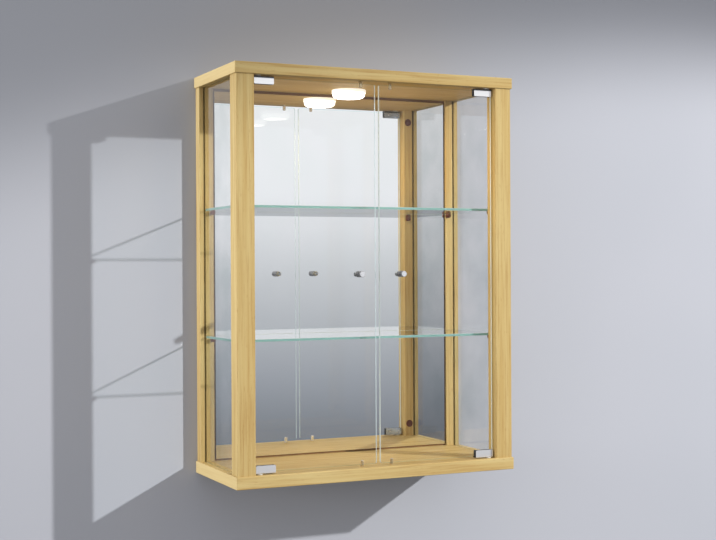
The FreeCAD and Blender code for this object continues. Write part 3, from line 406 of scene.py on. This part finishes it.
WALL_Y, FLOOR_Z, REACH = 0.004, -1.9, 5.0
upright = [(-REACH, -REACH), (REACH, -REACH), (REACH, REACH), (-REACH, REACH)]
level = [(-REACH, -REACH), (REACH, -REACH), (REACH, WALL_Y), (-REACH, WALL_Y)]
wall_paint = paint("wall_paint", rgb(166, 168, 174), rgb(172, 173, 179))
floor_paint = paint("floor_paint", rgb(128, 128, 131), rgb(134, 134, 137))
backdrop("wall", [(x, WALL_Y, z) for x, z in upright], wall_paint)
backdrop("floor", [(x, y, FLOOR_Z) for x, y in level], floor_paint)


# Light

DUSK = (0.66, 0.66, 0.66, 1)
ROOM_BY_HEIGHT = [
    (-0.60, rgb(160, 162, 168)), (-0.30, rgb(136, 139, 146)), (-0.16, rgb(112, 115, 124)),
    (-0.12, rgb(130, 134, 142)), (-0.083, rgb(157, 161, 169)), (-0.006, rgb(203, 205, 210)),
    (0.054, rgb(239, 240, 244)), (0.16, rgb(246, 247, 249)), (0.35, rgb(232, 233, 236)),
    (1.00, rgb(206, 207, 212)),
]
ROOM_BY_SIDE = [(0.451, WHITE), (0.459, DUSK), (0.52, DUSK), (0.65, WHITE)]


def room_light():
    """The room, from dim below to white above, with a dusky side that the camera itself doesn't see."""
    scene.world = bpy.data.worlds.new("room")
    graph = Graph(scene.world)
    direction = graph.parts("Generated")
    colour = graph.ramp(direction["Z"], ROOM_BY_HEIGHT)
    strength = graph.ramp(direction["X"], ROOM_BY_SIDE)
    lighting = graph.add("Background", {"Color": colour, "Strength": strength}).outputs[0]
    seen = graph.add("Background", {"Color": colour}).outputs[0]
    is_camera = graph.add("LightPath").outputs["Is Camera Ray"]
    graph.finish(graph.blend(is_camera, lighting, seen), "OutputWorld")


def shine(name, kind, place, target, power, colour=(1, 1, 1), **settings):
    """A light that shines from a place at a target, and that no mirror or pane shows."""
    data = bpy.data.lights.new(name, kind)
    data.energy = power
    data.color = colour
    for key, value in settings.items():
        setattr(data, key, value)
    light = bpy.data.objects.new(name, data)
    scene.collection.objects.link(light)
    light.location = place
    light.rotation_euler = (Vector(target) - Vector(place)).to_track_quat("-Z", "Y").to_euler()
    light.visible_transmission = False
    light.visible_glossy = False
    return light


room_light()
shine("key", "SPOT", place=(4.35, -4.15, 1.7), target=(0.1, 0.0, -3.55), power=1780,
      spot_size=math.radians(56), spot_blend=0.2, shadow_soft_size=0.06)
shine("fill", "SPOT", place=(-3.2, -0.45, -0.1), target=(0, -0.12, -0.3), power=380,
      spot_size=math.radians(40), spot_blend=1.0, shadow_soft_size=0.6)
# The metal on the cabinet's back does show the light behind it
back = shine("back", "AREA", place=(1.0, 3.0, 0.8), target=(0, 0, -0.3), power=66, size=4.0)
back.visible_glossy = True
# The lamp, what comes back up from shelves and base, and what the mirror throws back
BELOW_LENS = 0.002
below_lens = Vector((lamp_middle.x, lamp_middle.y, lens_low.z - BELOW_LENS))
shine("lamp", "AREA", place=below_lens, target=below_lens + Vector((0, 0, -1)), power=1.3,
      colour=(1, 0.74, 0.38), shape="DISK", size=0.06)
shine("bounce", "AREA", place=(0, -0.12, -0.15), target=(0, -0.12, 0.07), power=0.26,
      colour=(1, 0.68, 0.20), shape="RECTANGLE", size=0.45, size_y=0.16)
shine("mirrored_lamp", "AREA", place=(0, -0.02, -0.3), target=(0, -1.0, -0.3), power=0.7,
      colour=(1, 0.68, 0.24), shape="RECTANGLE", size=0.5, size_y=0.7)


# Camera, as fitted to the corners of both boards in the photo

YAW, PITCH, ROLL = math.radians(24.840), math.radians(-0.056), math.radians(-0.290)
CAMERA_PLACE = (-1.1303, -2.5791, -0.2934)
FOCAL_PIXELS, PICTURE_WIDTH, SENSOR = 1327.6, 716, 36.0
right = Vector((math.cos(YAW), -math.sin(YAW), 0))
ahead = Vector((math.sin(YAW) * math.cos(PITCH), math.cos(YAW) * math.cos(PITCH), math.sin(PITCH)))
up = right.cross(ahead)
side = math.cos(ROLL) * right + math.sin(ROLL) * up
top = side.cross(ahead)
view = bpy.data.cameras.new("view")
view.sensor_width = SENSOR
view.lens = FOCAL_PIXELS / PICTURE_WIDTH * SENSOR
camera = bpy.data.objects.new("view", view)
scene.collection.objects.link(camera)
turn = Matrix((side, top, -ahead)).transposed().to_4x4()
camera.matrix_world = Matrix.Translation(CAMERA_PLACE) @ turn
scene.camera = camera
